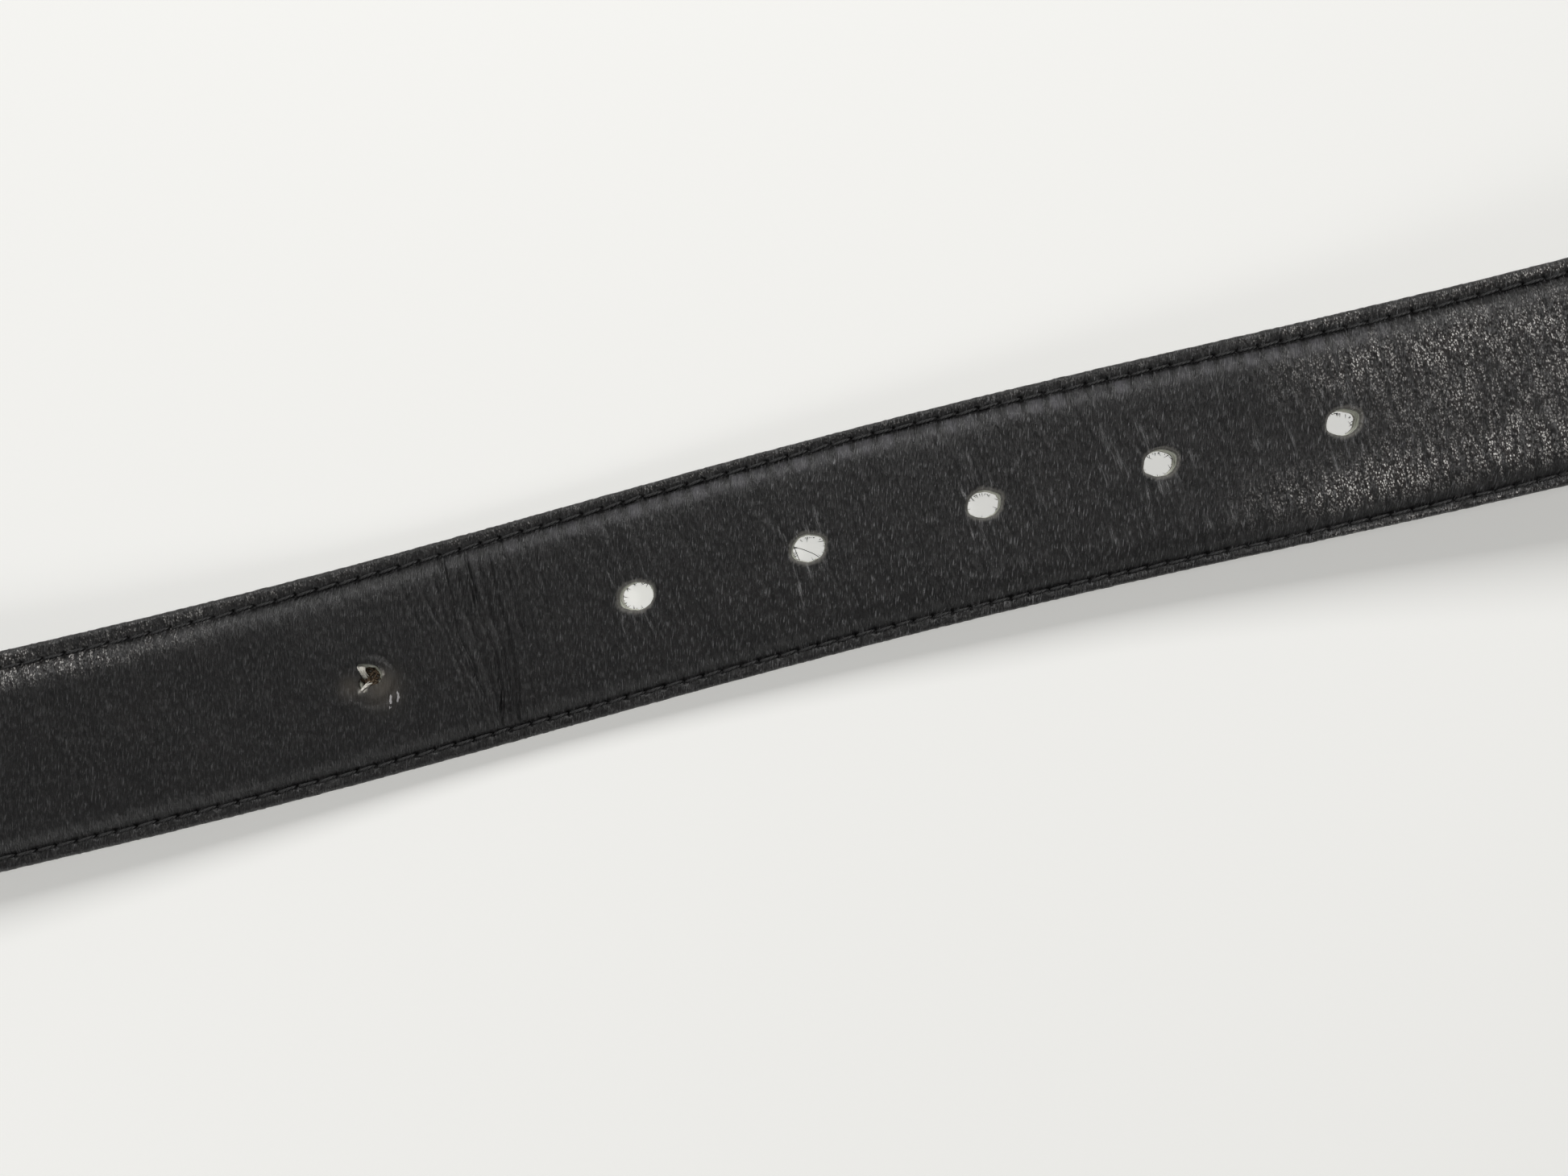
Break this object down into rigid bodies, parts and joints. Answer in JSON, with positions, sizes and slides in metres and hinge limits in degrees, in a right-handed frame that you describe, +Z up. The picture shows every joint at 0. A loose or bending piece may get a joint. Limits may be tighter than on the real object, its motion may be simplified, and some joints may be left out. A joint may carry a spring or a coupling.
{
  "type": "leather dress belt",
  "caption": "Leather dress belt: padded strap stitched along both rims, punched holes, prong buckle that turns on a crossbar, fixed keeper and sliding keeper.",
  "frame": {"origin": "middle of the belt's length and width, on the surface that it lies on", "axes": "+X along the strap from the buckle to the tip, +Y across the strap, +Z up out of its face"},
  "size_m": [1.1278, 0.041, 0.0195],
  "materials": {
    "face_leather": "fine grain, soft sheen",
    "lining_leather": "smooth, matt",
    "padding": "pressed fibre",
    "core_board": "pressed fibre board",
    "thread": "waxed",
    "buckle_metal": "satin",
    "steel_wire": "drawn"
  },
  "bodies": {
    "strap_1": {"face_leather_1": "face_leather", "padding_1": "padding", "core_board_1": "core_board", "lining_1": "lining_leather", "stitching_1": "thread", "turnback_stitching": "thread", "fixed_keeper": "face_leather"},
    "strap_2": {"face_leather_2": "face_leather", "padding_2": "padding", "core_board_2": "core_board", "lining_2": "lining_leather", "stitching_2": "thread"},
    "strap_3": {"face_leather_3": "face_leather", "padding_3": "padding", "core_board_3": "core_board", "lining_3": "lining_leather", "stitching_3": "thread"},
    "strap_4": {"face_leather_4": "face_leather", "padding_4": "padding", "core_board_4": "core_board", "lining_4": "lining_leather", "stitching_4": "thread"},
    "strap_5": {"face_leather_5": "face_leather", "padding_5": "padding", "core_board_5": "core_board", "lining_5": "lining_leather", "stitching_5": "thread"},
    "strap_6": {"face_leather_6": "face_leather", "padding_6": "padding", "core_board_6": "core_board", "lining_6": "lining_leather", "stitching_6": "thread"},
    "strap_7": {"face_leather_7": "face_leather", "padding_7": "padding", "core_board_7": "core_board", "lining_7": "lining_leather", "stitching_7": "thread"},
    "strap_8": {"face_leather_8": "face_leather", "padding_8": "padding", "core_board_8": "core_board", "lining_8": "lining_leather", "stitching_8": "thread"},
    "strap_9": {"face_leather_9": "face_leather", "padding_9": "padding", "core_board_9": "core_board", "lining_9": "lining_leather", "stitching_9": "thread"},
    "keeper": {"free_keeper": "face_leather", "free_keeper_staple": "steel_wire"},
    "buckle": {"buckle_frame": "buckle_metal", "crossbar": "steel_wire"},
    "tongue": {"prong": "buckle_metal"}
  },
  "joints": [
    {"name": "bend_7", "type": "hinge", "parent": "strap_8", "child": "strap_7", "pos_m": [0.34775, 0, 0.0018], "axis": [0, 1, 0], "range_deg": [-36, 36], "stiffness_Nm_per_rad": 0.06},
    {"name": "bend_6", "type": "hinge", "parent": "strap_7", "child": "strap_6", "pos_m": [0.21992, 0, 0.0088], "axis": [0, 1, 0], "range_deg": [-36, 36], "stiffness_Nm_per_rad": 0.06},
    {"name": "bend_5", "type": "hinge", "parent": "strap_6", "child": "strap_5", "pos_m": [0.09208, 0, 0.0018], "axis": [0, 1, 0], "range_deg": [-36, 36], "stiffness_Nm_per_rad": 0.06},
    {"name": "bend_4", "type": "hinge", "parent": "strap_5", "child": "strap_4", "pos_m": [-0.03575, 0, 0.0018], "axis": [0, 1, 0], "range_deg": [-36, 36], "stiffness_Nm_per_rad": 0.06},
    {"name": "bend_3", "type": "hinge", "parent": "strap_4", "child": "strap_3", "pos_m": [-0.16358, 0, 0.0018], "axis": [0, 1, 0], "range_deg": [-36, 36], "stiffness_Nm_per_rad": 0.06},
    {"name": "bend_2", "type": "hinge", "parent": "strap_3", "child": "strap_2", "pos_m": [-0.29142, 0, 0.0018], "axis": [0, 1, 0], "range_deg": [-36, 36], "stiffness_Nm_per_rad": 0.06},
    {"name": "bend_1", "type": "hinge", "parent": "strap_2", "child": "strap_1", "pos_m": [-0.41925, 0, 0.0036], "axis": [0, 1, 0], "range_deg": [-36, 36], "stiffness_Nm_per_rad": 0.06},
    {"name": "bend_8", "type": "hinge", "parent": "strap_8", "child": "strap_9", "pos_m": [0.45625, 0, 0.0063], "axis": [0, -1, 0], "range_deg": [-36, 36], "stiffness_Nm_per_rad": 0.06},
    {"name": "buckle_turn", "type": "hinge", "parent": "strap_1", "child": "buckle", "pos_m": [-0.53125, 0, 0.00415], "axis": [0, 1, 0], "range_deg": [-90, 50]},
    {"name": "prong_turn", "type": "hinge", "parent": "buckle", "child": "tongue", "pos_m": [-0.53125, 0, 0.00415], "axis": [0, 1, 0], "range_deg": [0, 90]},
    {"name": "keeper_slide", "type": "slide", "parent": "strap_1", "child": "keeper", "axis": [1, 0, 0], "range_m": [-0.0115, 0.0555]}
  ]
}
